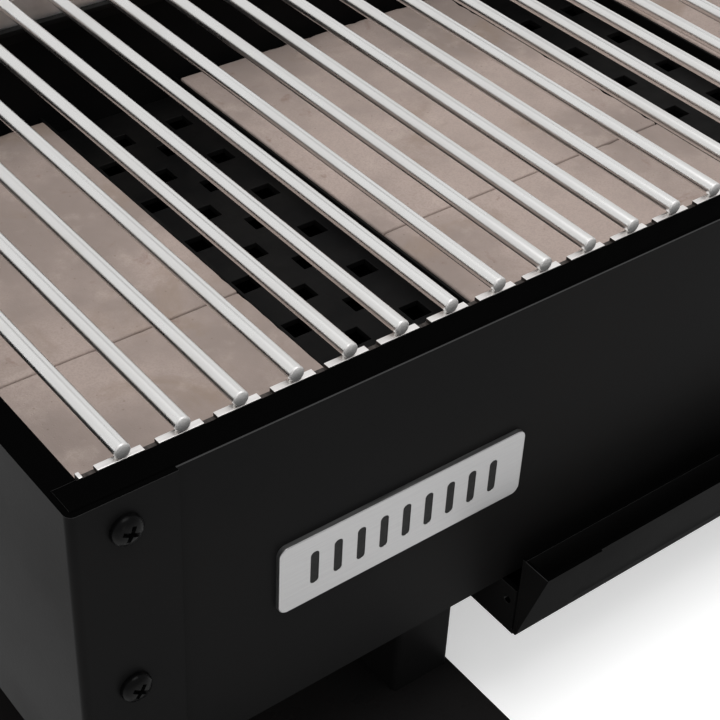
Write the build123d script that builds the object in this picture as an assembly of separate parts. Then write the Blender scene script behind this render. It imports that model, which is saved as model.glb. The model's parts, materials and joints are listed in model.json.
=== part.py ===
from build123d import *
import math
import os

# Countertop charcoal charbroiler: a bolted sheet-steel firebox lined with loose fire bricks,
# two lift-out rod grates, a pull-out ash drawer, and a pedestal stand on each side.
# Millimetres. X runs left to right, the front faces -Y, Z is up, and Z = 0 is the counter.
# The origin is under the middle of the base plates.

os.makedirs("parts", exist_ok=True)

# ---- driving dimensions -------------------------------------------------------------------

SHEET = 3.0                     # firebox sheet
THIN_SHEET = 2.0                # trays, chutes and drawer

# stand
BASE_DEPTH = 520.0
BASE_WIDTH = 250.0              # one base plate, left to right
BASE_THICKNESS = 6.0
BASE_INNER_X = 187.0            # distance of each base plate's inner edge from the middle
BASE_CORNER_RADIUS = 8.0
BASE_CHAMFER = 0.6
FOOT_RADIUS = 15.0
FOOT_HEIGHT = 14.0
FOOT_EDGE_RADIUS = 2.0
FOOT_BORE_RADIUS = 6.0          # the lower half, around the screw's head
FOOT_INSET = 26.0
POST_SIZE = 40.0                # square tube
POST_WALL = 3.0
POST_OUTER_X = 229.5            # outer face of each post
POST_INSET_FRONT = 30.0         # from the front wall's face to the front post
RAIL_WIDTH = 50.0
RAIL_THICKNESS = 5.0
RAIL_OVERHANG = 5.0             # past the posts at both ends
CLEARANCE_UNDER_FIREBOX = 93.0  # from the top of the base plates to the firebox

# firebox
FIREBOX_WIDTH = 886.0
WALL_HEIGHT = 191.0
FIREBOX_DEPTH = 435.0           # over the front and rear walls
OVERHANG_FRONT = 65.0           # the base plates stand this far in front of the front wall
RIM_WIDTH = 15.0                # top flange turned inwards on the front and rear walls
END_RIM_WIDTH = 12.0            # the same on the end panels
END_PANEL_DROP = 0.5            # the end panels' top is this far below the walls' top
END_RIM_GAP = 1.0               # from the end panels' rims to the walls' rims
CORNER_FLANGE = 53.0            # return flange of an end panel on the front or rear wall
BEND_RADIUS = 4.0
WALL_BEND_RADIUS = 2.5
ASH_SLOT_Y = (-150.0, 200.0)
SLOT_MARGIN = 2.0               # from the slots in the pan to the drawer's and trays' sheets

# corner screws, M8 pan heads
CORNER_SCREW_X = 417.0
CORNER_SCREW_DROPS = (19.0, 118.0)  # below the walls' top
PAN_HEAD_RADIUS = 8.0
PAN_HEAD_HEIGHT = 5.5
M8_RADIUS = 4.0
CROWN_ROUNDING = 0.75           # of the head's height
RECESS_FLOOR = 2.2              # above the head's seat
RECESS_REACH = 4.0
RECESS_HALF_WIDTH = 0.9
SCREW_SHANK = 12.5              # through the flange, the wall and the nut
M8_NUT_FLATS = 13.0
M8_NUT_HEIGHT = 6.0

# fire bed
BRICK_THICKNESS = 30.0
BRICK_TOP_DROP = 100.0          # brick faces below the walls' top
BRICK_EDGE_RADIUS = 1.5
MIDDLE_BED_WIDTH = 236.0
CHANNEL_WIDTH = 105.0
BRICK_JOINT = 1.0
BRICK_END_GAP = 1.0             # from the end panels
BRICK_SIDE_GAP = 0.5            # from the trays' sides
BRICK_FRONT_GAP = 9.0           # from the front wall's inner face
BRICK_REAR_GAP = 7.0
BRICK_JOINT_Y = 3.5             # joint between the front and rear bricks
TRAY_CLEARANCE = 0.5
TRAY_SIDE_DROP = 1.0            # the trays' sides end this far below the bricks' faces

# perforated ash plates in the two channels
ASH_PLATE_DROP = 115.0
ASH_PLATE_THICKNESS = 4.0
ASH_PLATE_SIDE_GAP = 0.5
ASH_PLATE_END_GAP = 2.0
ASH_HOLE = 14.0
ASH_HOLE_COLUMNS = 4
ASH_HOLE_COLUMN_PITCH = 22.5
ASH_HOLE_ROW_PITCH = 51.0
ASH_HOLE_ROWS = 8               # in the columns that aren't staggered, which have one more
ASH_HOLE_FIRST_Y = -155.0
ASH_LEDGE = 9.0
CHUTE_TOP_RISE = 34.0
CHUTE_WALL = 2.6

# cooking grates
ROD_RADIUS = 4.0
ROD_PITCH = 30.0
RODS_PER_GRATE = 14
GRATE_DROP = 1.0                # top of the comb bars below the walls' top
COMB_HEIGHT = 20.0
COMB_THICKNESS = 4.0
COMB_GAP = 1.5                  # from the rim's edge, and from one grate to the other
NOTCH_WIDTH = 7.0
NOTCH_DEPTH = 2.2
NOTCH_OFFSET = 14.0             # from the rod on its left
LEDGE_REACH = 22.0
LEDGE_HEIGHT = 20.0
LEDGE_HALF_LENGTH = 400.0

# name plate
PLATE_WIDTH = 153.0
PLATE_HEIGHT = 43.0
PLATE_THICKNESS = 3.0
PLATE_CORNER_RADIUS = 5.0
PLATE_CHAMFER = 0.4
PLATE_X = -260.5
PLATE_CENTRE_DROP = 101.5
INLAY_COUNT = 9
INLAY_PITCH = 14.0
INLAY_WIDTH = 5.0
INLAY_HEIGHT = 21.0
INLAY_RECESS = 1.2
INLAY_FILL = 0.9
INLAY_END_FLAT = 0.1            # half of the flat left at a bar's rounded end
STUD_OFFSET = 58.0
STUD_PAST_NUT = 2.0
M4_RADIUS = 2.0
M4_NUT_FLATS = 7.0
M4_NUT_HEIGHT = 3.2

# ash drawer
DRAWER_HALF_WIDTH = 184.0       # over the runners and the drawer's front
RUNNER_HEIGHT = 33.0
RUNNER_FLANGE = 18.0
RUNNER_FORWARD = 12.0           # the runners stand this far in front of the front wall
RUNNER_REAR_Y = 205.0
RUNNER_HOLE_RADIUS = 2.5
RUNNER_HOLE_FORWARD = 6.0       # from the front wall's face
RUNNER_HOLE_DROP = 11.0         # below the pan
DRAWER_SIDE_GAP = 1.0
DRAWER_LIFT = 0.5               # play between the drawer and the runners' flanges
DRAWER_HEIGHT = 25.5
DRAWER_REAR_Y = 200.0
FRONT_GAP = 1.6                 # seam between the runners and the drawer's front
FLANGE_GAP = 0.4                # the same at the runners' bottom flanges, which close the seam
FRONT_HEIGHT = 58.0
FRONT_RISE = 1.0                # the drawer's front starts this far above the runners' foot
LIP_REACH = 18.0
LIP_TAB_WIDTH = 40.0            # the gussets' tabs, lapped over the outside of the pull
LIP_TAB_THICKNESS = 1.2
RIVET_RADIUS = 2.0
RIVET_HEAD_RADIUS = 4.0
RIVET_HEAD_HEIGHT = 1.6
RIVET_HEAD_ROUNDING = 1.2
RIVET_XS = (-120.0, -40.0, 40.0, 120.0)

# stand bolts, M6
M6_RADIUS = 3.0
M6_FLATS = 10.0
M6_HEAD = 4.0
M6_HEAD_RADIUS = 5.4            # the foot screws' round heads
M6_NUT_HEIGHT = 5.0
BOLT_PAST_NUT = 2.0
FOOT_SCREW_DROP = 1.0           # the foot screws end this far below the base plates' top
STAND_BOLT_X = 209.5
STAND_BOLT_YS = (-70.0, 22.0, 115.0)

# ---- places worked out from them ----------------------------------------------------------

base_z = FOOT_HEIGHT
base_top_z = base_z + BASE_THICKNESS
pan_z = base_top_z + CLEARANCE_UNDER_FIREBOX
pan_top_z = pan_z + SHEET
rim_z = pan_z + WALL_HEIGHT

front_y = -BASE_DEPTH / 2 + OVERHANG_FRONT
front_inner_y = front_y + SHEET
rear_y = front_y + FIREBOX_DEPTH
rear_inner_y = rear_y - SHEET
rim_front_y = front_y + RIM_WIDTH
rim_rear_y = rear_y - RIM_WIDTH

end_x = FIREBOX_WIDTH / 2
wall_end_x = end_x - SHEET
end_top_z = rim_z - END_PANEL_DROP

middle_x = MIDDLE_BED_WIDTH / 2
channel_outer_x = middle_x + CHANNEL_WIDTH
brick_top_z = rim_z - BRICK_TOP_DROP
brick_z = brick_top_z - BRICK_THICKNESS
ash_plate_top_z = rim_z - ASH_PLATE_DROP
ash_plate_z = ash_plate_top_z - ASH_PLATE_THICKNESS
bed_front_y = front_inner_y + TRAY_CLEARANCE
bed_rear_y = rear_inner_y - TRAY_CLEARANCE

comb_top_z = rim_z - GRATE_DROP
comb_z = comb_top_z - COMB_HEIGHT
comb_front_y = rim_front_y + COMB_GAP
comb_rear_y = rim_rear_y - COMB_GAP
grate_outer_x = wall_end_x - END_RIM_WIDTH - COMB_GAP

runner_z = pan_z - RUNNER_HEIGHT
runner_front_y = front_y - RUNNER_FORWARD
drawer_half_x = DRAWER_HALF_WIDTH - SHEET - DRAWER_SIDE_GAP
drawer_z = runner_z + SHEET + DRAWER_LIFT
panel_back_y = runner_front_y - FRONT_GAP
panel_y = panel_back_y - THIN_SHEET
panel_z = runner_z + FRONT_RISE
panel_top_z = panel_z + FRONT_HEIGHT

slot_outer_x = drawer_half_x - THIN_SHEET - SLOT_MARGIN
slot_inner_x = middle_x + THIN_SHEET + SLOT_MARGIN

screw_zs = [rim_z - drop for drop in CORNER_SCREW_DROPS]


# ---- helpers ------------------------------------------------------------------------------

def block(x, y, z):
    """A box between two values on each axis, in either order."""
    lows = [min(pair) for pair in (x, y, z)]
    sizes = [abs(pair[1] - pair[0]) for pair in (x, y, z)]
    return Pos(*lows) * Box(*sizes, align=(Align.MIN, Align.MIN, Align.MIN))


def prism_x(points, x):
    """A polygon of (y, z) points drawn out along X."""
    profile = make_face(Polyline(*[(0, y, z) for y, z in points], close=True))
    return Pos(min(x), 0, 0) * extrude(profile, abs(x[1] - x[0]), dir=(1, 0, 0))


def prism_y(points, y):
    """A polygon of (x, z) points drawn out along Y."""
    profile = make_face(Polyline(*[(x, 0, z) for x, z in points], close=True))
    return Pos(0, min(y), 0) * extrude(profile, abs(y[1] - y[0]), dir=(0, 1, 0))


def round_y(radius, x, z, y):
    """A cylinder along Y."""
    bar = Cylinder(radius, abs(y[1] - y[0]), align=(Align.CENTER, Align.CENTER, Align.MIN))
    return Pos(x, max(y), z) * Rot(90, 0, 0) * bar


def round_z(radius, x, y, z):
    """A cylinder along Z."""
    bar = Cylinder(radius, abs(z[1] - z[0]), align=(Align.CENTER, Align.CENTER, Align.MIN))
    return Pos(x, y, min(z)) * bar


def hex_y(flats, x, z, y, hole):
    """A hexagon nut along Y with its hole."""
    nut = extrude(RegularPolygon(flats / math.sqrt(3), 6), abs(y[1] - y[0]))
    return Pos(x, max(y), z) * Rot(90, 0, 0) * nut - round_y(hole, x, z, y)


def hex_z(flats, x, y, z):
    """A solid hexagon along Z."""
    return Pos(x, y, min(z)) * extrude(RegularPolygon(flats / math.sqrt(3), 6), abs(z[1] - z[0]))


def mirrored(shape):
    """The same piece on the other side of the YZ plane."""
    return mirror(shape, about=Plane.YZ)


def group(pieces):
    """Separate solids in one node."""
    return Compound(children=[solid for piece in pieces for solid in piece.solids()])


def write(name, shape):
    export_step(shape, f"parts/{name}.step")


def write_pair(stem, left):
    write(f"{stem}_left", left)
    write(f"{stem}_right", mirrored(left))


# ---- firebox ------------------------------------------------------------------------------

def wall_screw_holes(y):
    holes = [round_y(M8_RADIUS, side * CORNER_SCREW_X, z, y) for side in (-1, 1) for z in screw_zs]
    return group(holes)


def stud_xs():
    return (PLATE_X - STUD_OFFSET, PLATE_X + STUD_OFFSET)


def long_wall(outer_y, inner_y, rim_edge_y):
    """Front or rear wall: an upright sheet with its top turned inwards, the bend rounded."""
    sheet = block((-wall_end_x, wall_end_x), (outer_y, inner_y), (pan_z, rim_z))
    rim = block((-wall_end_x, wall_end_x), (outer_y, rim_edge_y), (rim_z - SHEET, rim_z))
    wall = sheet + rim
    bend = [e for e in wall.edges().filter_by(Axis.X)
            if abs(e.center().Y - outer_y) < 0.01 and abs(e.center().Z - rim_z) < 0.01]
    return fillet(bend, WALL_BEND_RADIUS) - wall_screw_holes((outer_y, inner_y))


def end_panel():
    """Left end panel with a return flange over each long wall and a narrow inward rim."""
    flange_x = (-end_x, -end_x + CORNER_FLANGE)
    low_y, high_y = front_y - SHEET, rear_y + SHEET
    panel = block((-end_x, -wall_end_x), (low_y, high_y), (pan_z, end_top_z))
    panel += block(flange_x, (low_y, front_y), (pan_z, end_top_z))
    panel += block(flange_x, (rear_y, high_y), (pan_z, end_top_z))
    corners = [e for e in panel.edges().filter_by(Axis.Z)
               if abs(e.center().X + end_x) < 0.01]
    panel = fillet(corners, BEND_RADIUS)
    panel += block((-end_x + SHEET / 2, -wall_end_x + END_RIM_WIDTH),
                   (rim_front_y + END_RIM_GAP, rim_rear_y - END_RIM_GAP),
                   (end_top_z - SHEET, end_top_z))
    for z in screw_zs:
        panel -= round_y(M8_RADIUS, -CORNER_SCREW_X, z, (low_y, front_y))
        panel -= round_y(M8_RADIUS, -CORNER_SCREW_X, z, (rear_y, high_y))
    return panel


def ash_slot(side):
    return block((side * slot_outer_x, side * slot_inner_x), ASH_SLOT_Y, (pan_z, pan_top_z))


def floor_pan():
    pan = block((-wall_end_x, wall_end_x), (front_inner_y, rear_inner_y), (pan_z, pan_top_z))
    for side in (-1, 1):
        pan -= ash_slot(side)
        for y in STAND_BOLT_YS:
            pan -= round_z(M6_RADIUS, side * STAND_BOLT_X, y, (pan_z, pan_top_z))
    return pan


def pan_head(x, z, face_y, outwards):
    """M8 pan-head screw through a corner, its head on face_y and a cross recess in the head."""
    head = round_y(PAN_HEAD_RADIUS, x, z, (face_y, face_y + outwards * PAN_HEAD_HEIGHT))
    crown = [e for e in head.edges().filter_by(GeomType.CIRCLE)
             if abs(e.center().Y - face_y) > PAN_HEAD_HEIGHT / 2]
    head = fillet(crown, PAN_HEAD_HEIGHT * CROWN_ROUNDING)
    recess_y = (face_y + outwards * RECESS_FLOOR, face_y + outwards * PAN_HEAD_HEIGHT)
    reach, half = RECESS_REACH, RECESS_HALF_WIDTH
    head -= block((x - reach, x + reach), recess_y, (z - half, z + half))
    head -= block((x - half, x + half), recess_y, (z - reach, z + reach))
    shank = round_y(M8_RADIUS, x, z, (face_y, face_y - outwards * SCREW_SHANK))
    return head + shank


def corner_positions():
    """x, z, outer face, nut face and outward direction of every corner screw."""
    for side in (-1, 1):
        for z in screw_zs:
            yield side * CORNER_SCREW_X, z, front_y - SHEET, front_inner_y, -1
            yield side * CORNER_SCREW_X, z, rear_y + SHEET, rear_inner_y, 1


def corner_screws():
    return group(pan_head(x, z, face, out) for x, z, face, _, out in corner_positions())


def corner_nuts():
    return group(hex_y(M8_NUT_FLATS, x, z, (nut, nut - out * M8_NUT_HEIGHT), M8_RADIUS)
                 for x, z, _, nut, out in corner_positions())


# ---- fire bed -----------------------------------------------------------------------------

def channel_side(x, outwards):
    """Upright side of a brick tray with the ledge that carries an ash plate."""
    upright = block((x, x + outwards * THIN_SHEET), (bed_front_y, bed_rear_y),
                    (pan_top_z, brick_top_z - TRAY_SIDE_DROP))
    ledge = block((x, x + outwards * (THIN_SHEET + ASH_LEDGE)), (bed_front_y, bed_rear_y),
                  (ash_plate_z - THIN_SHEET, ash_plate_z))
    return upright + ledge


def tray_shelf(x):
    return block(x, (bed_front_y, bed_rear_y), (brick_z - THIN_SHEET, brick_z))


def outer_tray():
    """Left brick tray: shelf, channel side and an outer leg along the end panel."""
    outer = -wall_end_x + TRAY_CLEARANCE
    leg = block((outer, outer + THIN_SHEET), (bed_front_y, bed_rear_y), (pan_top_z, brick_z))
    return tray_shelf((outer, -channel_outer_x)) + leg + channel_side(-channel_outer_x, 1)


def middle_tray():
    return tray_shelf((-middle_x, middle_x)) + channel_side(-middle_x, -1) + channel_side(middle_x, 1)


def brick(x, y):
    slab = block(x, y, (brick_z, brick_top_z))
    return fillet(slab.edges().group_by(Axis.Z)[-1], BRICK_EDGE_RADIUS)


outer_bed_x = (-wall_end_x + BRICK_END_GAP, -channel_outer_x - BRICK_SIDE_GAP)
middle_bed_x = (-middle_x + BRICK_SIDE_GAP, middle_x - BRICK_SIDE_GAP)
brick_spans = {
    "front": (front_inner_y + BRICK_FRONT_GAP, BRICK_JOINT_Y - BRICK_JOINT / 2),
    "rear": (BRICK_JOINT_Y + BRICK_JOINT / 2, rear_inner_y - BRICK_REAR_GAP),
}


def ash_plate():
    """Left perforated plate: staggered columns of square holes."""
    centre = -(middle_x + channel_outer_x) / 2
    half = CHANNEL_WIDTH / 2 - THIN_SHEET - ASH_PLATE_SIDE_GAP
    y = (bed_front_y + ASH_PLATE_END_GAP, bed_rear_y - ASH_PLATE_END_GAP)
    plate = block((centre - half, centre + half), y, (ash_plate_z, ash_plate_top_z))
    holes = []
    for column in range(ASH_HOLE_COLUMNS):
        x = centre + (column - (ASH_HOLE_COLUMNS - 1) / 2) * ASH_HOLE_COLUMN_PITCH
        staggered = column % 2 == 0
        for row in range(ASH_HOLE_ROWS - staggered):
            y = ASH_HOLE_FIRST_Y + (row + staggered / 2) * ASH_HOLE_ROW_PITCH
            holes.append(block((x - ASH_HOLE / 2, x + ASH_HOLE / 2), (y - ASH_HOLE / 2, y + ASH_HOLE / 2),
                               (ash_plate_z, ash_plate_top_z)))
    return plate - group(holes)


def ash_chute():
    """Left sloped sheet that leads ash from the channel's outer part to the slot in the pan."""
    high_x, low_x = -channel_outer_x + THIN_SHEET, -slot_outer_x
    high_z = pan_top_z + CHUTE_TOP_RISE
    outline = [(high_x, high_z), (high_x, high_z + CHUTE_WALL),
               (low_x, pan_top_z + CHUTE_WALL), (low_x, pan_top_z)]
    return prism_y(outline, (bed_front_y, bed_rear_y))


# ---- cooking grates -----------------------------------------------------------------------

def rod_xs(side):
    """Rods of the left (-1) or right (1) grate, from left to right."""
    first = -(RODS_PER_GRATE - 0.5) * ROD_PITCH if side < 0 else ROD_PITCH / 2
    return [first + i * ROD_PITCH for i in range(RODS_PER_GRATE)]


def grate_rods(side):
    axis_z = comb_top_z + ROD_RADIUS
    return group(round_y(ROD_RADIUS, x, axis_z, (comb_front_y, comb_rear_y)) for x in rod_xs(side))


def comb_bar(side, y):
    """Flat bar on edge under the rods, with one open notch between each two rods."""
    bar = block((side * COMB_GAP, side * grate_outer_x), y, (comb_z, comb_top_z))
    xs = [x + NOTCH_OFFSET for x in rod_xs(side)]
    xs = xs[:-1] + [xs[0] - ROD_PITCH] if side < 0 else xs
    notches = [block((x - NOTCH_WIDTH / 2, x + NOTCH_WIDTH / 2), y, (comb_top_z - NOTCH_DEPTH, comb_top_z))
               for x in xs]
    return bar - group(notches)


def grate_ledge(wall_y, inwards):
    """Angle welded inside a long wall, which carries the comb bars."""
    x = (-LEDGE_HALF_LENGTH, LEDGE_HALF_LENGTH)
    upright = block(x, (wall_y, wall_y + inwards * SHEET), (comb_z - LEDGE_HEIGHT, comb_z))
    shelf = block(x, (wall_y, wall_y + inwards * LEDGE_REACH), (comb_z - SHEET, comb_z))
    return upright + shelf


# ---- name plate ---------------------------------------------------------------------------

plate_z = rim_z - PLATE_CENTRE_DROP
plate_y = front_y - PLATE_THICKNESS


def inlay_bars(y):
    """Plain rounded bars in a row, as a recess or as its filling."""
    first = PLATE_X - (INLAY_COUNT - 1) * INLAY_PITCH / 2
    half = INLAY_WIDTH / 2
    bars = []
    for i in range(INLAY_COUNT):
        x = first + i * INLAY_PITCH
        bar = block((x - half, x + half), y, (plate_z - INLAY_HEIGHT / 2, plate_z + INLAY_HEIGHT / 2))
        bars.append(fillet(bar.edges().filter_by(Axis.Y), half - INLAY_END_FLAT))
    return group(bars)


def name_plate():
    plate = block((PLATE_X - PLATE_WIDTH / 2, PLATE_X + PLATE_WIDTH / 2), (plate_y, front_y),
                  (plate_z - PLATE_HEIGHT / 2, plate_z + PLATE_HEIGHT / 2))
    plate = fillet(plate.edges().filter_by(Axis.Y), PLATE_CORNER_RADIUS)
    plate = chamfer(plate.faces().sort_by(Axis.Y)[0].edges(), PLATE_CHAMFER)
    return plate - inlay_bars((plate_y, plate_y + INLAY_RECESS))


def name_plate_inlay():
    return inlay_bars((plate_y + INLAY_RECESS - INLAY_FILL, plate_y + INLAY_RECESS))


def name_plate_studs():
    tip_y = front_inner_y + M4_NUT_HEIGHT + STUD_PAST_NUT
    return group(round_y(M4_RADIUS, x, plate_z, (front_y, tip_y)) for x in stud_xs())


def name_plate_nuts():
    return group(hex_y(M4_NUT_FLATS, x, plate_z, (front_inner_y, front_inner_y + M4_NUT_HEIGHT), M4_RADIUS)
                 for x in stud_xs())


def front_wall():
    wall = long_wall(front_y, front_inner_y, rim_front_y)
    for x in stud_xs():
        wall -= round_y(M4_RADIUS, x, plate_z, (front_y, front_inner_y))
    return wall


# ---- ash drawer ---------------------------------------------------------------------------

def drawer_runner():
    """Left runner: side sheet with inward flanges at its top and bottom."""
    outer, inner = -DRAWER_HALF_WIDTH, -DRAWER_HALF_WIDTH + SHEET
    runner = block((outer, inner), (runner_front_y, RUNNER_REAR_Y), (runner_z, pan_z))
    runner += block((outer, outer + RUNNER_FLANGE), (panel_back_y + FLANGE_GAP, RUNNER_REAR_Y),
                    (runner_z, runner_z + SHEET))
    runner += block((outer, outer + RUNNER_FLANGE), (front_inner_y, RUNNER_REAR_Y),
                    (pan_z - SHEET, pan_z))
    hole_y, hole_z = front_y - RUNNER_HOLE_FORWARD, pan_z - RUNNER_HOLE_DROP
    hole = Cylinder(RUNNER_HOLE_RADIUS, 4 * SHEET)
    return runner - Pos(outer, hole_y, hole_z) * Rot(0, 90, 0) * hole


def drawer_stop():
    return block((-DRAWER_HALF_WIDTH, DRAWER_HALF_WIDTH), (RUNNER_REAR_Y, RUNNER_REAR_Y + SHEET),
                 (runner_z, pan_z))


def rivet_holes(y):
    return group(round_y(RIVET_RADIUS, x, drawer_z + DRAWER_HEIGHT / 2, y) for x in RIVET_XS)


def ash_drawer_tray():
    x, y = (-drawer_half_x, drawer_half_x), (panel_back_y, DRAWER_REAR_Y)
    tray = block(x, y, (drawer_z, drawer_z + DRAWER_HEIGHT))
    tray -= block((x[0] + THIN_SHEET, x[1] - THIN_SHEET), (y[0] + THIN_SHEET, y[1] - THIN_SHEET),
                  (drawer_z + THIN_SHEET, drawer_z + DRAWER_HEIGHT))
    return tray - rivet_holes((y[0], y[0] + THIN_SHEET))


def ash_drawer_front():
    panel = block((-DRAWER_HALF_WIDTH, DRAWER_HALF_WIDTH), (panel_y, panel_back_y), (panel_z, panel_top_z))
    return panel - rivet_holes((panel_y, panel_back_y))


def ash_drawer_lip():
    """Full-width pull: a sheet leaning out from the panel's foot, closed by a gusset at each end."""
    foot_y, edge_y = panel_y, panel_y - LIP_REACH
    sheet_y = edge_y + LIP_TAB_THICKNESS
    steepness = FRONT_HEIGHT / LIP_REACH
    rise = THIN_SHEET * steepness
    step = LIP_TAB_THICKNESS * steepness
    slope = [(foot_y, panel_z + step), (foot_y, panel_z + step + rise),
             (sheet_y + THIN_SHEET, panel_top_z), (sheet_y, panel_top_z)]
    tab = [(foot_y, panel_z), (foot_y, panel_z + step), (sheet_y, panel_top_z), (edge_y, panel_top_z)]
    gusset = [(foot_y, panel_z), (foot_y, panel_top_z), (edge_y, panel_top_z)]
    lip = prism_x(slope, (-DRAWER_HALF_WIDTH, DRAWER_HALF_WIDTH))
    for side in (-1, 1):
        end = side * DRAWER_HALF_WIDTH
        lip += prism_x(gusset, (end, end - side * THIN_SHEET))
        lip += prism_x(tab, (end, end - side * LIP_TAB_WIDTH))
    return lip


def ash_drawer_rivets():
    """Rivets from the tray into the front panel, with a domed head inside the tray."""
    z = drawer_z + DRAWER_HEIGHT / 2
    inside_y = panel_back_y + THIN_SHEET
    rivets = []
    for x in RIVET_XS:
        head = round_y(RIVET_HEAD_RADIUS, x, z, (inside_y, inside_y + RIVET_HEAD_HEIGHT))
        rim = head.edges().filter_by(GeomType.CIRCLE).sort_by(Axis.Y)[-1]
        head = fillet(rim, RIVET_HEAD_ROUNDING)
        rivets.append(head + round_y(RIVET_RADIUS, x, z, (panel_y, inside_y)))
    return group(rivets)


# ---- stand --------------------------------------------------------------------------------

post_front_y = front_y + POST_INSET_FRONT
post_rear_y = rear_y - POST_INSET_FRONT - POST_SIZE
rail_z = pan_z - RAIL_THICKNESS


def post(y):
    """Left post: square tube between a base plate and a top rail."""
    x = (-POST_OUTER_X, -POST_OUTER_X + POST_SIZE)
    z = (base_top_z, rail_z)
    tube = block(x, (y, y + POST_SIZE), z)
    tube = fillet(tube.edges().filter_by(Axis.Z), POST_WALL)
    hollow = block((x[0] + POST_WALL, x[1] - POST_WALL), (y + POST_WALL, y + POST_SIZE - POST_WALL), z)
    return tube - hollow


def top_rail():
    centre = -POST_OUTER_X + POST_SIZE / 2
    x = (centre - RAIL_WIDTH / 2, centre + RAIL_WIDTH / 2)
    rail = block(x, (post_front_y - RAIL_OVERHANG, post_rear_y + POST_SIZE + RAIL_OVERHANG), (rail_z, pan_z))
    for y in STAND_BOLT_YS:
        rail -= round_z(M6_RADIUS, -STAND_BOLT_X, y, (rail_z, pan_z))
    return rail


def foot_positions():
    """Left base plate's feet."""
    for x in (-BASE_INNER_X - BASE_WIDTH + FOOT_INSET, -BASE_INNER_X - FOOT_INSET):
        for y in (-BASE_DEPTH / 2 + FOOT_INSET, BASE_DEPTH / 2 - FOOT_INSET):
            yield x, y


def base_plate():
    plate = block((-BASE_INNER_X - BASE_WIDTH, -BASE_INNER_X), (-BASE_DEPTH / 2, BASE_DEPTH / 2),
                  (base_z, base_top_z))
    plate = fillet(plate.edges().filter_by(Axis.Z), BASE_CORNER_RADIUS)
    plate = chamfer(plate.faces().sort_by(Axis.Z)[-1].edges(), BASE_CHAMFER)
    for x, y in foot_positions():
        plate -= round_z(M6_RADIUS, x, y, (base_z, base_top_z))
    return plate


def feet():
    """Rubber feet of the left plate, each bored for its screw."""
    pieces = []
    for x, y in foot_positions():
        foot = round_z(FOOT_RADIUS, x, y, (0, FOOT_HEIGHT))
        foot = fillet(foot.edges().filter_by(GeomType.CIRCLE).sort_by(Axis.Z)[0], FOOT_EDGE_RADIUS)
        foot -= round_z(M6_RADIUS, x, y, (0, FOOT_HEIGHT))
        foot -= round_z(FOOT_BORE_RADIUS, x, y, (0, FOOT_HEIGHT / 2))
        pieces.append(foot)
    return group(pieces)


def foot_screws():
    pieces = []
    for x, y in foot_positions():
        head_z = (FOOT_HEIGHT / 2 - M6_HEAD, FOOT_HEIGHT / 2)
        screw = round_z(M6_HEAD_RADIUS, x, y, head_z)
        screw += round_z(M6_RADIUS, x, y, (head_z[1], base_top_z - FOOT_SCREW_DROP))
        pieces += [screw, mirrored(screw)]
    return group(pieces)


def stand_bolts():
    pieces = []
    for side in (-1, 1):
        for y in STAND_BOLT_YS:
            x = side * STAND_BOLT_X
            bolt = hex_z(M6_FLATS, x, y, (pan_top_z, pan_top_z + M6_HEAD))
            tip_z = rail_z - M6_NUT_HEIGHT - BOLT_PAST_NUT
            pieces.append(bolt + round_z(M6_RADIUS, x, y, (tip_z, pan_top_z)))
    return group(pieces)


def stand_nuts():
    pieces = []
    for side in (-1, 1):
        for y in STAND_BOLT_YS:
            x, z = side * STAND_BOLT_X, (rail_z - M6_NUT_HEIGHT, rail_z)
            pieces.append(hex_z(M6_FLATS, x, y, z) - round_z(M6_RADIUS, x, y, z))
    return group(pieces)


# ---- write every node ---------------------------------------------------------------------

write("front_wall", front_wall())
write("rear_wall", long_wall(rear_y, rear_inner_y, rim_rear_y))
write_pair("end_panel", end_panel())
write("floor_pan", floor_pan())
write("corner_screws", corner_screws())
write("corner_nuts", corner_nuts())

write_pair("brick_tray", outer_tray())
write("brick_tray_middle", middle_tray())
for end, span in brick_spans.items():
    write_pair(f"fire_brick_{end}", brick(outer_bed_x, span))
    write(f"fire_brick_{end}_middle", brick(middle_bed_x, span))
write_pair("ash_plate", ash_plate())
write_pair("ash_chute", ash_chute())

write("grate_ledge_front", grate_ledge(front_inner_y, 1))
write("grate_ledge_rear", grate_ledge(rear_inner_y, -1))
for label, side in (("left", -1), ("right", 1)):
    write(f"grate_rods_{label}", grate_rods(side))
    write(f"grate_front_comb_{label}", comb_bar(side, (comb_front_y, comb_front_y + COMB_THICKNESS)))
    write(f"grate_rear_comb_{label}", comb_bar(side, (comb_rear_y - COMB_THICKNESS, comb_rear_y)))

write("name_plate", name_plate())
write("name_plate_inlay", name_plate_inlay())
write("name_plate_studs", name_plate_studs())
write("name_plate_nuts", name_plate_nuts())

write_pair("drawer_runner", drawer_runner())
write("drawer_stop", drawer_stop())
write("ash_drawer_tray", ash_drawer_tray())
write("ash_drawer_front", ash_drawer_front())
write("ash_drawer_lip", ash_drawer_lip())
write("ash_drawer_rivets", ash_drawer_rivets())

write_pair("front_post", post(post_front_y))
write_pair("rear_post", post(post_rear_y))
write_pair("top_rail", top_rail())
write_pair("base_plate", base_plate())
write_pair("feet", feet())
write("foot_screws", foot_screws())
write("stand_bolts", stand_bolts())
write("stand_nuts", stand_nuts())
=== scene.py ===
import json
import math
import random

import bmesh
import bpy
from mathutils import Euler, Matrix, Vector, noise


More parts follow.
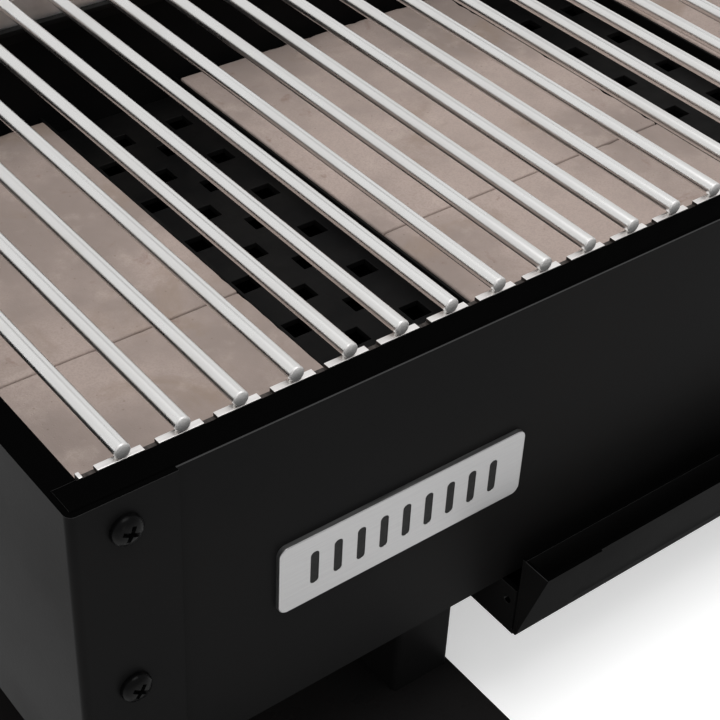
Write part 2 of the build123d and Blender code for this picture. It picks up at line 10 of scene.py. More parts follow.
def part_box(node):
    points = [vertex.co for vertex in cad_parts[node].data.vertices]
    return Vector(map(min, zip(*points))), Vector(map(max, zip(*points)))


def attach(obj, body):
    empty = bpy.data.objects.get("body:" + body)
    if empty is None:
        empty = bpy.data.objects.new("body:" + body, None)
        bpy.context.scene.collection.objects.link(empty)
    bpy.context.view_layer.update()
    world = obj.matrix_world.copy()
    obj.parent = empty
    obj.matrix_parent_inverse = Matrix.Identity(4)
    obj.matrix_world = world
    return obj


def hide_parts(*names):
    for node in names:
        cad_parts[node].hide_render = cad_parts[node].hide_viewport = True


# A countertop charcoal charbroiler: black powder-coated firebox on two pedestals, loose fire
# bricks, perforated ash plates, two polished rod grates, an ash drawer and a blank name plate.
# Metres, in the part's own frame: X to the right, the front faces -Y, Z up, counter at Z = 0.

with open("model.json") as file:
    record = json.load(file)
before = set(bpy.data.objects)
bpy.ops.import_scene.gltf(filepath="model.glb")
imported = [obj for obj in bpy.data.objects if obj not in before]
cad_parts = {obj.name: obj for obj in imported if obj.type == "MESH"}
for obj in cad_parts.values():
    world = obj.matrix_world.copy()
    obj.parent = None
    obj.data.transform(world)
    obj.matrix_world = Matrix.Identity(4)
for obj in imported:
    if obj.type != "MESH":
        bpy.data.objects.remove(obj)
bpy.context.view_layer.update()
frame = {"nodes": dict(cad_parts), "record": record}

MM = 0.001
SEED = 419
WHITE = (1.0, 1.0, 1.0)


# ---- material helpers ---------------------------------------------------------------------

class Shader:
    """A Principled material and short calls for the nodes that feed it."""

    def __init__(self, name, colour, roughness, metallic=0.0, specular=0.5):
        self.material = bpy.data.materials.new(name)
        self.material.use_nodes = True
        self.tree = self.material.node_tree
        self.surface = self.tree.nodes["Principled BSDF"]
        self.surface.inputs["Base Color"].default_value = (*colour, 1)
        self.surface.inputs["Roughness"].default_value = roughness
        self.surface.inputs["Metallic"].default_value = metallic
        self.surface.inputs["Specular IOR Level"].default_value = specular
        self.where = self.tree.nodes.new("ShaderNodeTexCoord").outputs["Object"]
        self.bump_out = None

    def node(self, kind, **settings):
        made = self.tree.nodes.new(kind)
        for key, value in settings.items():
            setattr(made, key, value)
        return made

    def link(self, source, target):
        self.tree.links.new(source, target)

    def stretched(self, scale):
        """The object's coordinates, each axis times its own scale."""
        mapping = self.node("ShaderNodeMapping")
        mapping.inputs["Scale"].default_value = scale
        self.link(self.where, mapping.inputs["Vector"])
        return mapping.outputs["Vector"]

    def noise(self, scale, detail=4.0, rough=0.55, stretch=None, distortion=0.0):
        made = self.node("ShaderNodeTexNoise")
        made.inputs["Scale"].default_value = scale
        made.inputs["Detail"].default_value = detail
        made.inputs["Roughness"].default_value = rough
        made.inputs["Distortion"].default_value = distortion
        self.link(self.stretched(stretch) if stretch else self.where, made.inputs["Vector"])
        return made.outputs["Fac"]

    def cells(self, scale, feature="F1"):
        made = self.node("ShaderNodeTexVoronoi", feature=feature)
        made.inputs["Scale"].default_value = scale
        self.link(self.where, made.inputs["Vector"])
        return made.outputs["Distance"]

    def height_of_normal(self):
        """1 on faces that look up, 0 on upright ones."""
        split = self.node("ShaderNodeSeparateXYZ")
        self.link(self.node("ShaderNodeNewGeometry").outputs["True Normal"], split.inputs["Vector"])
        return split.outputs["Z"]

    def remap(self, value, low, high, to_low, to_high):
        made = self.node("ShaderNodeMapRange", interpolation_type="SMOOTHSTEP")
        for key, number in zip(("From Min", "From Max", "To Min", "To Max"), (low, high, to_low, to_high)):
            made.inputs[key].default_value = number
        self.link(value, made.inputs["Value"])
        return made.outputs["Result"]

    def times(self, a, b):
        made = self.node("ShaderNodeMath", operation="MULTIPLY")
        self.link(a, made.inputs[0])
        self.link(b, made.inputs[1])
        return made.outputs["Value"]

    def mix(self, factor, a, b):
        """A colour between a and b; each is a colour or an output."""
        made = self.node("ShaderNodeMix", data_type="RGBA")
        self.link(factor, made.inputs["Factor"])
        for key, value in (("A", a), ("B", b)):
            socket = [s for s in made.inputs if s.name == key and s.type == "RGBA"][0]
            if isinstance(value, tuple):
                socket.default_value = (*value, 1)
            else:
                self.link(value, socket)
        return [s for s in made.outputs if s.type == "RGBA"][0]

    def colour(self, output):
        self.link(output, self.surface.inputs["Base Color"])

    def roughness(self, output):
        self.link(output, self.surface.inputs["Roughness"])

    def bump(self, height, strength, distance):
        """Adds one layer of bump over those already there."""
        made = self.node("ShaderNodeBump")
        made.inputs["Strength"].default_value = strength
        made.inputs["Distance"].default_value = distance
        self.link(height, made.inputs["Height"])
        if self.bump_out is not None:
            self.link(self.bump_out, made.inputs["Normal"])
        self.bump_out = made.outputs["Normal"]
        self.link(self.bump_out, self.surface.inputs["Normal"])


# ---- materials ----------------------------------------------------------------------------

def powder_black():
    """Satin powder coat: an almost black film with painted light in its colour. Painted shade makes it
    darkest on faces that look up and darker on undersides, a painted highlight brightens the bends, and its
    specular level is lowered on undersides and tops.
    """
    s = Shader("powder_black", (0.006, 0.006, 0.006), 0.4, specular=0.02)
    cloud = s.noise(9, 5)
    tone_and_painted_light = s.mix(s.remap(cloud, 0.3, 0.7, 0, 1), (0.0047, 0.0047, 0.0048), (0.0060, 0.0058, 0.0057))
    height = s.height_of_normal()
    # Painted shade: faces that look down are darkened.
    tone_and_painted_light = s.mix(s.remap(height, -0.25, -0.05, 1, 0), tone_and_painted_light, (0.0022, 0.0022, 0.0022))
    # Painted highlight: faces that look partly up, such as the rounded bends, are made bright.
    tone_and_painted_light = s.mix(s.remap(height, 0.2, 0.32, 0, 1), tone_and_painted_light, (0.042, 0.042, 0.042))
    # Painted shade: faces that look up are made darkest.
    s.colour(s.mix(s.remap(height, 0.44, 0.6, 0, 1), tone_and_painted_light, (0.0010, 0.0010, 0.0010)))
    # The specular level goes with the painted shade: lowest on undersides, lowered on tops.
    level = s.times(s.remap(height, -0.25, 0.0, 0.002, 0.013), s.remap(height, 0.44, 0.6, 1, 0.15))
    s.link(level, s.surface.inputs["Specular IOR Level"])
    grain = s.noise(420, 3)
    s.roughness(s.remap(cloud, 0.3, 0.75, 0.36, 0.44))
    s.bump(grain, 0.10, 0.0004)
    s.bump(s.noise(1500, 2), 0.10, 0.00015)
    return s.material


def base_black():
    """The base plates' coat, glossier and marked by fine handling scratches."""
    s = Shader("base_black", (0.010, 0.0095, 0.0095), 0.3, specular=0.12)
    cloud = s.noise(7, 5)
    s.colour(s.mix(s.remap(cloud, 0.3, 0.7, 0, 1), (0.0085, 0.0082, 0.0084), (0.0125, 0.0115, 0.0112)))
    s.roughness(s.remap(s.noise(30, 6), 0.3, 0.8, 0.26, 0.40))
    s.bump(s.noise(500, 3), 0.10, 0.0004)
    return s.material


def inner_black():
    """Heat-proof matt black inside the firebox, with a little ash dust."""
    s = Shader("inner_black", (0.005, 0.005, 0.005), 0.62, specular=0.10)
    dust = s.noise(26, 6, 0.65)
    s.colour(s.mix(s.remap(dust, 0.50, 0.78, 0, 1), (0.0030, 0.0029, 0.0028), (0.0095, 0.0088, 0.0082)))
    s.roughness(s.remap(dust, 0.3, 0.8, 0.52, 0.74))
    s.bump(s.noise(260, 4), 0.16, 0.0006)
    return s.material


def ash_plate_steel():
    """Dark hot-rolled steel of the perforated plates."""
    s = Shader("ash_plate_steel", (0.006, 0.0058, 0.0058), 0.5, specular=0.08)
    scale = s.noise(18, 6, 0.6)
    s.colour(s.mix(s.remap(scale, 0.35, 0.7, 0, 1), (0.0038, 0.0037, 0.0038), (0.0080, 0.0074, 0.0070)))
    s.roughness(s.remap(s.noise(60, 5), 0.3, 0.75, 0.42, 0.6))
    s.bump(s.noise(320, 4), 0.14, 0.0005)
    return s.material


def rod_stainless():
    """Polished stainless rods with faint drawing lines along their length."""
    s = Shader("rod_stainless", (0.83, 0.825, 0.815), 0.16, metallic=1.0)
    lines = s.noise(1, 4, 0.6, stretch=(1500, 9, 1500))
    smudge = s.noise(34, 5, 0.6, stretch=(1, 0.35, 1))
    s.colour(s.mix(s.remap(smudge, 0.35, 0.75, 0, 1), (0.84, 0.835, 0.825), (0.76, 0.75, 0.735)))
    s.roughness(s.remap(smudge, 0.3, 0.8, 0.24, 0.34))
    s.bump(lines, 0.03, 0.00004)
    return s.material


def weld_steel():
    """Dull, slightly straw-coloured weld metal."""
    s = Shader("weld_steel", (0.55, 0.53, 0.50), 0.4, metallic=1.0)
    tint = s.noise(300, 4)
    s.colour(s.mix(s.remap(tint, 0.35, 0.7, 0, 1), (0.66, 0.65, 0.63), (0.46, 0.43, 0.40)))
    s.roughness(s.remap(tint, 0.3, 0.8, 0.34, 0.5))
    s.bump(s.noise(1400, 3), 0.2, 0.0002)
    return s.material


def comb_stainless():
    """Flat bar with a bright ground edge and fine lines along it."""
    s = Shader("comb_stainless", (0.90, 0.885, 0.87), 0.4, metallic=1.0)
    lines = s.noise(1, 5, 0.6, stretch=(25, 1800, 1800))
    s.colour(s.mix(s.remap(s.noise(60, 5), 0.35, 0.75, 0, 1), (0.93, 0.905, 0.89), (0.86, 0.835, 0.82)))
    s.roughness(s.remap(lines, 0.3, 0.7, 0.34, 0.48))
    s.bump(lines, 0.05, 0.00005)
    return s.material


def sawn_steel():
    """Rough bright ends of the rods, with fine saw marks."""
    s = Shader("sawn_steel", (0.85, 0.84, 0.83), 0.6, metallic=1.0)
    marks = s.noise(1, 4, 0.6, stretch=(900, 900, 4200))
    s.colour(s.mix(s.remap(marks, 0.3, 0.7, 0, 1), (0.74, 0.73, 0.72), (0.58, 0.57, 0.56)))
    s.roughness(s.remap(marks, 0.3, 0.7, 0.5, 0.72))
    s.bump(marks, 0.12, 0.0001)
    return s.material


def painted_notch_shade():
    """Painted shade: the dark floor and walls of a laser-cut notch, coloured like a recess in shade."""
    s = Shader("painted_notch_shade", (0.05, 0.042, 0.038), 0.5, metallic=0.6)
    tint = s.noise(1, 4, 0.6, stretch=(500, 120, 120))
    s.colour(s.mix(s.remap(tint, 0.3, 0.7, 0, 1), (0.026, 0.021, 0.019), (0.070, 0.059, 0.053)))
    s.roughness(s.remap(tint, 0.3, 0.7, 0.42, 0.6))
    s.bump(s.noise(1600, 3), 0.2, 0.0002)
    return s.material


def fire_brick():
    """Pale pink-buff fireclay: cloudy, with brown stains, dark specks and open pores."""
    s = Shader("fire_brick", (0.52, 0.43, 0.37), 0.9, specular=0.2)
    broad = s.remap(s.noise(6.5, 5, 0.6), 0.36, 0.62, 0, 1)
    body = s.mix(broad, (0.485, 0.392, 0.352), (0.325, 0.265, 0.238))
    stain = s.remap(s.noise(15, 6, 0.62, distortion=0.6), 0.53, 0.72, 0, 0.65)
    body = s.mix(stain, body, (0.31, 0.235, 0.185))
    smudge = s.remap(s.noise(38, 5, 0.6, distortion=0.8), 0.63, 0.76, 0, 0.7)
    body = s.mix(smudge, body, (0.235, 0.145, 0.115))
    chalk = s.remap(s.noise(42, 6, 0.6), 0.54, 0.74, 0, 0.45)
    body = s.mix(chalk, body, (0.56, 0.465, 0.415))
    grit = s.remap(s.noise(900, 3), 0.42, 0.62, 0, 0.35)
    body = s.mix(grit, body, (0.34, 0.275, 0.240))
    specks = s.remap(s.cells(110), 0.03, 0.10, 0.5, 0)
    body = s.mix(specks, body, (0.20, 0.150, 0.125))
    s.colour(body)
    s.roughness(s.remap(s.noise(120, 4), 0.3, 0.7, 0.82, 0.97))
    s.bump(s.noise(90, 6), 0.22, 0.0012)
    s.bump(s.remap(s.cells(330), 0.04, 0.20, 0, 1), 0.20, 0.0005)
    s.bump(s.noise(1300, 3), 0.20, 0.0003)
    return s.material


def screw_black():
    """Black oxide on the screws and rivets."""
    s = Shader("screw_black", (0.003, 0.003, 0.003), 0.26, specular=0.05)
    wear = s.noise(260, 4)
    s.colour(s.mix(s.remap(wear, 0.55, 0.8, 0, 1), (0.0018, 0.0018, 0.0019), (0.0060, 0.0058, 0.0056)))
    s.roughness(s.remap(wear, 0.3, 0.8, 0.24, 0.4))
    s.bump(s.noise(900, 3), 0.10, 0.0002)
    return s.material


def zinc_steel():
    """Zinc plating on the nuts, studs and bolts."""
    s = Shader("zinc_steel", (0.60, 0.60, 0.58), 0.34, metallic=1.0)
    spangle = s.noise(240, 4)
    s.colour(s.mix(s.remap(spangle, 0.3, 0.7, 0, 1), (0.64, 0.64, 0.63), (0.50, 0.50, 0.47)))
    s.roughness(s.remap(spangle, 0.3, 0.75, 0.26, 0.44))
    s.bump(s.noise(800, 3), 0.12, 0.0002)
    return s.material


def plate_aluminium():
    """Satin anodised plate brushed along its length."""
    s = Shader("plate_aluminium", (0.33, 0.33, 0.335), 0.36, metallic=1.0)
    lines = s.noise(1, 5, 0.65, stretch=(30, 2600, 2600))
    s.colour(s.mix(s.remap(lines, 0.3, 0.7, 0, 1), (0.300, 0.298, 0.299), (0.355, 0.352, 0.353)))
    s.roughness(s.remap(lines, 0.3, 0.7, 0.30, 0.44))
    s.bump(lines, 0.12, 0.0001)
    return s.material


def inlay_black():
    """Matt black enamel in the plate's recesses."""
    s = Shader("inlay_black", (0.006, 0.006, 0.006), 0.5, specular=0.08)
    fleck = s.noise(700, 3)
    s.colour(s.mix(s.remap(fleck, 0.35, 0.7, 0, 1), (0.0055, 0.0055, 0.0055), (0.0100, 0.0098, 0.0095)))
    s.bump(fleck, 0.12, 0.0002)
    return s.material


def foot_rubber():
    """Moulded black rubber with a faint bloom."""
    s = Shader("foot_rubber", (0.018, 0.018, 0.018), 0.75, specular=0.3)
    bloom = s.noise(150, 5)
    s.colour(s.mix(s.remap(bloom, 0.4, 0.75, 0, 1), (0.015, 0.015, 0.015), (0.034, 0.033, 0.032)))
    s.roughness(s.remap(bloom, 0.3, 0.8, 0.66, 0.86))
    s.bump(s.noise(1100, 3), 0.25, 0.0003)
    return s.material


MATERIALS = {
    "powder_black": powder_black(),
    "base_black": base_black(),
    "firebox_inner_black": inner_black(),
    "ash_plate_steel": ash_plate_steel(),
    "rod_stainless": rod_stainless(),
    "comb_stainless": comb_stainless(),
    "fire_brick": fire_brick(),
    "screw_black": screw_black(),
    "zinc_steel": zinc_steel(),
    "plate_aluminium": plate_aluminium(),
    "inlay_black": inlay_black(),
    "foot_rubber": foot_rubber(),
}
WELD = weld_steel()
# Dark painted shade for the notches of the comb bars.
PAINTED_NOTCH_SHADE = painted_notch_shade()
SAWN = sawn_steel()
SLOT_OF = {row["node"]: row["material_slot"] for row in frame["record"]["subparts"]}
BODY_OF = {node: body for body, nodes in frame["record"]["behaviour"]["bodies"].items() for node in nodes}


# ---- mesh helpers -------------------------------------------------------------------------

def soften(mesh, angle):
    """Smooth shading with creases where faces meet at more than that angle."""
    mesh.polygons.foreach_set("use_smooth", [True] * len(mesh.polygons))
    mesh.set_sharp_from_angle(angle=math.radians(angle))


def piece_from(bm, name, node, material=None, crease=35):
    """Turns a bmesh into a piece that rides with a CAD node's body and has its slot."""
    bmesh.ops.recalc_face_normals(bm, faces=bm.faces)
    mesh = bpy.data.meshes.new(name)
    bm.to_mesh(mesh)
    bm.free()
    soften(mesh, crease)
    made = bpy.data.objects.new(name, mesh)
    bpy.context.scene.collection.objects.link(made)
    mesh.materials.append(material or MATERIALS[SLOT_OF[node]])
    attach(made, BODY_OF[node])
    return made


def clean_copy(node):
    """The node's own mesh with its faces joined up and its flat parts made whole."""
    bm = bmesh.new()
    bm.from_mesh(frame["nodes"][node].data)
    bmesh.ops.remove_doubles(bm, verts=bm.verts, dist=2e-6)
    bmesh.ops.dissolve_limit(bm, angle_limit=math.radians(0.6), verts=bm.verts, edges=bm.edges)
    return bm


def eased(node, name, width, segments=2, crease_above=32):
    """A piece that stands for the node, its sharp edges rounded by a small radius."""
    bm = clean_copy(node)
    sharp = [e for e in bm.edges if len(e.link_faces) == 2
             and e.calc_face_angle(0) > math.radians(crease_above)]
    bmesh.ops.bevel(bm, geom=sharp, offset=width, segments=segments, profile=0.5,
                    affect="EDGES", clamp_overlap=True, harden_normals=False)
    bmesh.ops.remove_doubles(bm, verts=bm.verts, dist=2e-6)
    made = piece_from(bm, name, node, crease=50)
    weighted = made.modifiers.new("flat_faces", "WEIGHTED_NORMAL")
    weighted.keep_sharp = True
    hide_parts(node)
    return made


def coat(node):
    """Keeps a CAD node's shape and gives it its finish."""
    shown = frame["nodes"][node]
    shown.data.materials.clear()
    shown.data.materials.append(MATERIALS[SLOT_OF[node]])


def lathe_y(bm, centre, profile, steps):
    """Rings about a line along Y through centre, from (radius, y) points; the ends are closed."""
    rings = []
    for radius, y in profile:
        ring = []
        for i in range(steps):
            turn = 2 * math.pi * i / steps
            ring.append(bm.verts.new((centre.x + radius * math.cos(turn), y,
                                      centre.z + radius * math.sin(turn))))
        rings.append(ring)
    for first, second in zip(rings, rings[1:]):
        for i in range(steps):
            j = (i + 1) % steps
            bm.faces.new((first[i], first[j], second[j], second[i]))
    bm.faces.new(rings[0])
    bm.faces.new(rings[-1])


# ---- cooking grates -----------------------------------------------------------------------

ROD_STEPS = 32
ROD_END = 0.9 * MM
ROD_END_PROFILE = ((0.82, 0.0), (0.91, 0.16), (0.97, 0.46), (1.0, 1.0))
WELD_RADIUS = 0.9 * MM
WELD_UNEVENNESS = 0.22
WELD_LENGTHENED = 1.15
WELD_RISE = 0.35                # of its radius, above the comb bar
COMB_EASE = 0.25 * MM


def rod_centres(node):
    """The middle of each rod of a grate, from the node's separate solids."""
    bm = bmesh.new()
    bm.from_mesh(frame["nodes"][node].data)
    bmesh.ops.remove_doubles(bm, verts=bm.verts, dist=2e-6)
    xs = sorted({round(v.co.x, 5) for v in bm.verts})
    bm.free()
    low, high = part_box(node)
    radius = (high.z - low.z) / 2
    centres = []
    for x in xs:
        if not centres or x - centres[-1] > 2 * radius:
            centres.append(x + radius)
    return centres, radius


def grate_rods(side):
    """Round rods with ground, slightly domed ends."""
    node = f"grate_rods_{side}"
    low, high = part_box(node)
    centres, radius = rod_centres(node)
    z = (low.z + high.z) / 2
    profile = [(radius * r, low.y + ROD_END * along) for r, along in ROD_END_PROFILE]
    profile += [(radius * r, high.y - ROD_END * along) for r, along in reversed(ROD_END_PROFILE)]
    bm = bmesh.new()
    for x in centres:
        lathe_y(bm, Vector((x, 0, z)), profile, ROD_STEPS)
    made = piece_from(bm, f"cooking_rods_{side}", node)
    made.data.materials.append(SAWN)
    for face in made.data.polygons:
        if min(face.center.y - low.y, high.y - face.center.y) < ROD_END:
            face.material_index = 1
    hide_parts(node)


def comb_bar(end, side):
    """The notched bar: a bright ground edge, with painted shade on the cut floors and walls of its notches.
    """
    node = f"grate_{end}_comb_{side}"
    made = eased(node, f"comb_bar_{end}_{side}", COMB_EASE)
    # Second slot: painted shade for the faces inside the notches, their floors and walls.
    made.data.materials.append(PAINTED_NOTCH_SHADE)
    low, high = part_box(node)
    floor_z, top_z = low.z + 2 * COMB_EASE, high.z - 2 * COMB_EASE
    for face in made.data.polygons:
        between_ends = low.x + COMB_EASE < face.center.x < high.x - COMB_EASE
        looks_sideways = abs(face.normal.y) < 0.5
        if between_ends and looks_sideways and floor_z < face.center.z < top_z:
            face.material_index = 1


def grate_welds(side):
    """A small uneven bead on each side of every rod where it lies on a comb bar."""
    centres, radius = rod_centres(f"grate_rods_{side}")
    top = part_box(f"grate_front_comb_{side}")[1].z
    spread = math.sqrt(radius ** 2 - (radius - WELD_RADIUS) ** 2)
    for end in ("front", "rear"):
        low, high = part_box(f"grate_{end}_comb_{side}")
        middle = (low.y + high.y) / 2
        bm = bmesh.new()
        for x in centres:
            for way in (-1, 1):
                place = Vector((x + way * spread, middle, top + WELD_RISE * WELD_RADIUS))
                bead = bmesh.ops.create_uvsphere(bm, u_segments=14, v_segments=10, radius=WELD_RADIUS)
                for v in bead["verts"]:
                    v.co.y *= WELD_LENGTHENED
                    v.co *= 1 + WELD_UNEVENNESS * noise.noise(v.co * 900 + place * 60)
                    v.co += place
        piece_from(bm, f"rod_welds_{end}_{side}", f"grate_{end}_comb_{side}", WELD)


# ---- fire bricks --------------------------------------------------------------------------

BRICK_CELL = 5 * MM
BRICK_ARRIS = 1.2 * MM
BRICK_WAVE = 0.18 * MM
BRICK_CHIP = 1.0 * MM


def fire_brick_slab(node, name):
    """A fired slab: slightly wavy faces, rounded arrises and a few chips along them."""
    low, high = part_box(node)
    size = high - low
    bm = bmesh.new()
    bmesh.ops.create_cube(bm, size=1)
    bmesh.ops.scale(bm, vec=size, verts=bm.verts)
    bmesh.ops.translate(bm, vec=(low + high) / 2, verts=bm.verts)
    bmesh.ops.bevel(bm, geom=list(bm.edges), offset=BRICK_ARRIS, segments=3, profile=0.5, affect="EDGES")
    for axis in range(3):
        count = max(1, round(size[axis] / BRICK_CELL))
        for i in range(1, count):
            at = Vector(low)
            at[axis] += size[axis] * i / count
            normal = Vector((0, 0, 0))
            normal[axis] = 1
            bmesh.ops.bisect_plane(bm, geom=bm.verts[:] + bm.edges[:] + bm.faces[:],
                                   plane_co=at, plane_no=normal)
    middle = (low + high) / 2
    for v in bm.verts:
        inset = sorted(min(v.co[a] - low[a], high[a] - v.co[a]) for a in range(3))
        edge = max(0.0, 1 - inset[1] / (4 * BRICK_ARRIS))
        wave = BRICK_WAVE * (0.5 + 0.5 * noise.noise(v.co * 28))
        chip = BRICK_CHIP * edge * max(0.0, noise.noise(v.co * 75) - 0.28) * 2.2
        pull = (middle - v.co)
        for a in range(3):
            near = min(v.co[a] - low[a], high[a] - v.co[a])
            if near < 2 * BRICK_ARRIS:
                v.co[a] += math.copysign(wave + chip, pull[a])
    made = piece_from(bm, name, node, crease=60)
    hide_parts(node)


# ---- corner screws ------------------------------------------------------------------------

SCREW_STEPS = 48
RECESS_WIDTH = 2.3 * MM
RECESS_REACH = 4.9 * MM
RECESS_DEPTH = 2.6 * MM
RECESS_TAPER = (0.45, 0.36)     # of its reach and its width, at the floor
HEAD_HEIGHT = 5.5 * MM
CROWN_POINTS = 9
CROWN_SHARE = 0.72              # of the head's height
SHANK_RADIUS = 4 * MM
TIP_LENGTH = 0.6 * MM


def islands(bm):
    """Lists of vertices, one for each separate solid."""
    left, found = set(bm.verts), []
    while left:
        stack = [left.pop()]
        island = list(stack)
        while stack:
            for e in stack.pop().link_edges:
                for v in e.verts:
                    if v in left:
                        left.remove(v)
                        stack.append(v)
                        island.append(v)
        found.append(island)
    return found


def solid_boxes(node):
    """The box of each separate solid of a node."""
    bm = bmesh.new()
    bm.from_mesh(frame["nodes"][node].data)
    bmesh.ops.remove_doubles(bm, verts=bm.verts, dist=2e-6)
    boxes = []
    for island in islands(bm):
        lows = Vector([min(v.co[a] for v in island) for a in range(3)])
        highs = Vector([max(v.co[a] for v in island) for a in range(3)])
        boxes.append((lows, highs))
    bm.free()
    return sorted(boxes, key=lambda pair: tuple(round(c, 5) for c in pair[0]))


def cross_cutter(x, z, face, inwards, turn):
    """A tapered cross: the shape that a driver's recess takes out of a screw's head."""
    bm = bmesh.new()
    for quarter in (0, 1):
        angle = turn + quarter * math.pi / 2
        along = Vector((math.cos(angle), 0, math.sin(angle)))
        across = Vector((-math.sin(angle), 0, math.cos(angle)))
        top, bottom = [], []
        for a, b in ((-1, -1), (1, -1), (1, 1), (-1, 1)):
            mouth = along * a * RECESS_REACH + across * b * RECESS_WIDTH / 2
            floor = along * a * RECESS_REACH * RECESS_TAPER[0] + across * b * RECESS_WIDTH * RECESS_TAPER[1]
            top.append(bm.verts.new(Vector((x, face - inwards * 0.5 * MM, z)) + mouth * 1.05))
            bottom.append(bm.verts.new(Vector((x, face + inwards * RECESS_DEPTH, z)) + floor))
        bm.faces.new(top)
        bm.faces.new(bottom[::-1])
        for i in range(4):
            j = (i + 1) % 4
            bm.faces.new((top[i], bottom[i], bottom[j], top[j]))
    bmesh.ops.recalc_face_normals(bm, faces=bm.faces)
    mesh = bpy.data.meshes.new("cutter")
    bm.to_mesh(mesh)
    bm.free()
    return bpy.data.objects.new("cutter", mesh)


def corner_screw(index, low, high, chance):
    """A pan head with a rolled rim, a domed crown and a cross recess, on its shank."""
    centre = (low + high) / 2
    inwards = 1 if centre.y < 0 else -1
    face = low.y if inwards > 0 else high.y
    tip = high.y if inwards > 0 else low.y
    radius = (high.x - low.x) / 2
    length = abs(tip - face)
    crown = []
    for i in range(CROWN_POINTS):
        turn = math.pi / 2 * i / (CROWN_POINTS - 1)
        across = radius * (0.05 + 0.95 * math.sin(turn) ** 0.8)
        crown.append((across, HEAD_HEIGHT * CROWN_SHARE * (1 - math.cos(turn))))
    rim = [(radius, HEAD_HEIGHT * 0.84), (radius * 0.975, HEAD_HEIGHT * 0.97), (radius * 0.94, HEAD_HEIGHT)]
    shank = [(SHANK_RADIUS, HEAD_HEIGHT), (SHANK_RADIUS, length - TIP_LENGTH),
             (SHANK_RADIUS - TIP_LENGTH, length)]
    bm = bmesh.new()
    profile = [(r, face + inwards * depth) for r, depth in crown + rim + shank]
    lathe_y(bm, centre, profile, SCREW_STEPS)
    made = piece_from(bm, f"corner_screw_{index}", "corner_screws", crease=40)
    cutter = cross_cutter(centre.x, centre.z, face, inwards, chance.uniform(0, math.pi / 2))
    bpy.context.scene.collection.objects.link(cutter)
    recess = made.modifiers.new("recess", "BOOLEAN")
    recess.operation = "DIFFERENCE"
    recess.solver = "EXACT"
    recess.use_self = True
    recess.object = cutter
    bpy.context.view_layer.update()
    cut = bpy.data.meshes.new_from_object(made.evaluated_get(bpy.context.evaluated_depsgraph_get()))
    made.modifiers.clear()
    made.data = cut
    soften(cut, 40)
    bpy.data.objects.remove(cutter)
    return made


def corner_screws():
    chance = random.Random(SEED)
    for index, (low, high) in enumerate(solid_boxes("corner_screws")):
        made = corner_screw(index + 1, low, high, chance)
        if index == 0:
            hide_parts("corner_screws")


# ---- put the pieces together --------------------------------------------------------------

EDGE = 0.35 * MM

EASED = {
    "front_wall": 0.45 * MM, "rear_wall": 0.45 * MM,
    "end_panel_left": 0.45 * MM, "end_panel_right": 0.45 * MM,
    "floor_pan": EDGE,
    "brick_tray_left": EDGE, "brick_tray_middle": EDGE, "brick_tray_right": EDGE,
    "ash_plate_left": 0.5 * MM, "ash_plate_right": 0.5 * MM,
    "ash_chute_left": EDGE, "ash_chute_right": EDGE,
    "grate_ledge_front": EDGE, "grate_ledge_rear": EDGE,
    "name_plate": 0.12 * MM,
    "drawer_runner_left": EDGE, "drawer_runner_right": EDGE, "drawer_stop": EDGE,
    "ash_drawer_tray": EDGE, "ash_drawer_front": EDGE, "ash_drawer_lip": EDGE,
    "front_post_left": EDGE, "front_post_right": EDGE,
    "rear_post_left": EDGE, "rear_post_right": EDGE,
    "top_rail_left": EDGE, "top_rail_right": EDGE,
    "base_plate_left": EDGE, "base_plate_right": EDGE,
    "corner_nuts": EDGE, "stand_bolts": EDGE, "stand_nuts": EDGE,
}
COATED = ("name_plate_inlay", "name_plate_studs", "name_plate_nuts", "ash_drawer_rivets",
          "feet_left", "feet_right", "foot_screws")

for node_name, edge_width in EASED.items():
    eased(node_name, f"{node_name}_finished", edge_width)
for node_name in COATED:
    coat(node_name)
for grate in ("left", "right"):
    grate_rods(grate)
    grate_welds(grate)
    for bar_end in ("front", "rear"):
        comb_bar(bar_end, grate)
for row in ("front", "rear"):
    for column in ("left", "middle", "right"):
        fire_brick_slab(f"fire_brick_{row}_{column}", f"fire_brick_slab_{row}_{column}")
corner_screws()


# ---- stage --------------------------------------------------------------------------------

FLOOR_GLOW = 0.45               # a light table, which keeps the shade under the object soft


def pale_floor():
    """A large pale table, lit faintly from below."""
    s = Shader("pale_floor", (0.86, 0.86, 0.86), 0.6, specular=0.1)
    s.colour(s.mix(s.noise(3, 3), (0.87, 0.87, 0.865), (0.85, 0.85, 0.85)))
    s.surface.inputs["Emission Color"].default_value = (*WHITE, 1)
    s.surface.inputs["Emission Strength"].default_value = FLOOR_GLOW
    bm = bmesh.new()
    bmesh.ops.create_grid(bm, x_segments=8, y_segments=8, size=8)
    mesh = bpy.data.meshes.new("floor")
    bm.to_mesh(mesh)
    bm.free()
    mesh.materials.append(s.material)
    floor = bpy.data.objects.new("floor", mesh)
    bpy.context.scene.collection.objects.link(floor)


def softbox(name, place, aim, size, power, colour=WHITE):
    """A square area light that looks from place to aim."""
    data = bpy.data.lights.new(name, "AREA")
    data.size = size
    data.energy = power
    data.color = colour
    light = bpy.data.objects.new(name, data)
    light.location = place
    light.rotation_euler = (Vector(aim) - Vector(place)).to_track_quat("-Z", "Y").to_euler()
    bpy.context.scene.collection.objects.link(light)


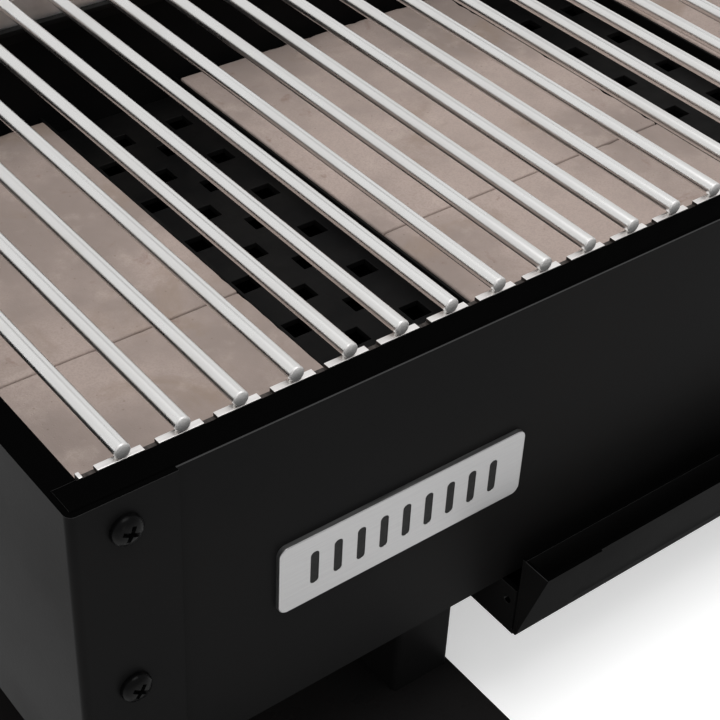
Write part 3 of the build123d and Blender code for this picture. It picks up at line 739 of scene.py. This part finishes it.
ROOM_BRIGHTNESS = 0.80
CARD_BRIGHTNESS = 0.30
CARD_DIRECTION = (0.30, 0.60, 0.74)
CARD_HALF_ANGLE = 7.0
CARD_SOFTNESS = 4.0


def studio_world():
    """An even pale room with one small grey card, high at the back right of the object."""
    world = bpy.data.worlds.new("studio")
    bpy.context.scene.world = world
    world.use_nodes = True
    tree = world.node_tree
    where = tree.nodes.new("ShaderNodeTexCoord")
    towards = tree.nodes.new("ShaderNodeVectorMath")
    towards.operation = "DOT_PRODUCT"
    towards.inputs[1].default_value = Vector(CARD_DIRECTION).normalized()
    ramp = tree.nodes.new("ShaderNodeMapRange")
    ramp.interpolation_type = "SMOOTHSTEP"
    ramp.inputs["From Min"].default_value = math.cos(math.radians(CARD_HALF_ANGLE + CARD_SOFTNESS))
    ramp.inputs["From Max"].default_value = math.cos(math.radians(CARD_HALF_ANGLE - CARD_SOFTNESS))
    ramp.inputs["To Min"].default_value = ROOM_BRIGHTNESS
    ramp.inputs["To Max"].default_value = CARD_BRIGHTNESS
    tree.links.new(where.outputs["Generated"], towards.inputs[0])
    tree.links.new(towards.outputs["Value"], ramp.inputs["Value"])
    tree.links.new(ramp.outputs["Result"], tree.nodes["Background"].inputs["Strength"])
    tree.nodes["Background"].inputs["Color"].default_value = (*WHITE, 1)


CAMERA_AT = (-0.663, -0.645, 0.7822)
CAMERA_TURN = tuple(math.radians(angle) for angle in (51.31, -2.44, -37.46))
CAMERA_LENS = 84.385


def camera():
    data = bpy.data.cameras.new("camera")
    data.lens = CAMERA_LENS
    data.sensor_width = 36
    data.clip_start = 0.01
    made = bpy.data.objects.new("camera", data)
    made.location = CAMERA_AT
    made.rotation_euler = Euler(CAMERA_TURN, "XYZ")
    bpy.context.scene.collection.objects.link(made)
    bpy.context.scene.camera = made


pale_floor()
softbox("overhead", (-0.3, -0.5, 2.3), (-0.1, -0.1, 0.2), 1.2, 26)
studio_world()
camera()
bpy.context.scene.view_settings.view_transform = "Standard"
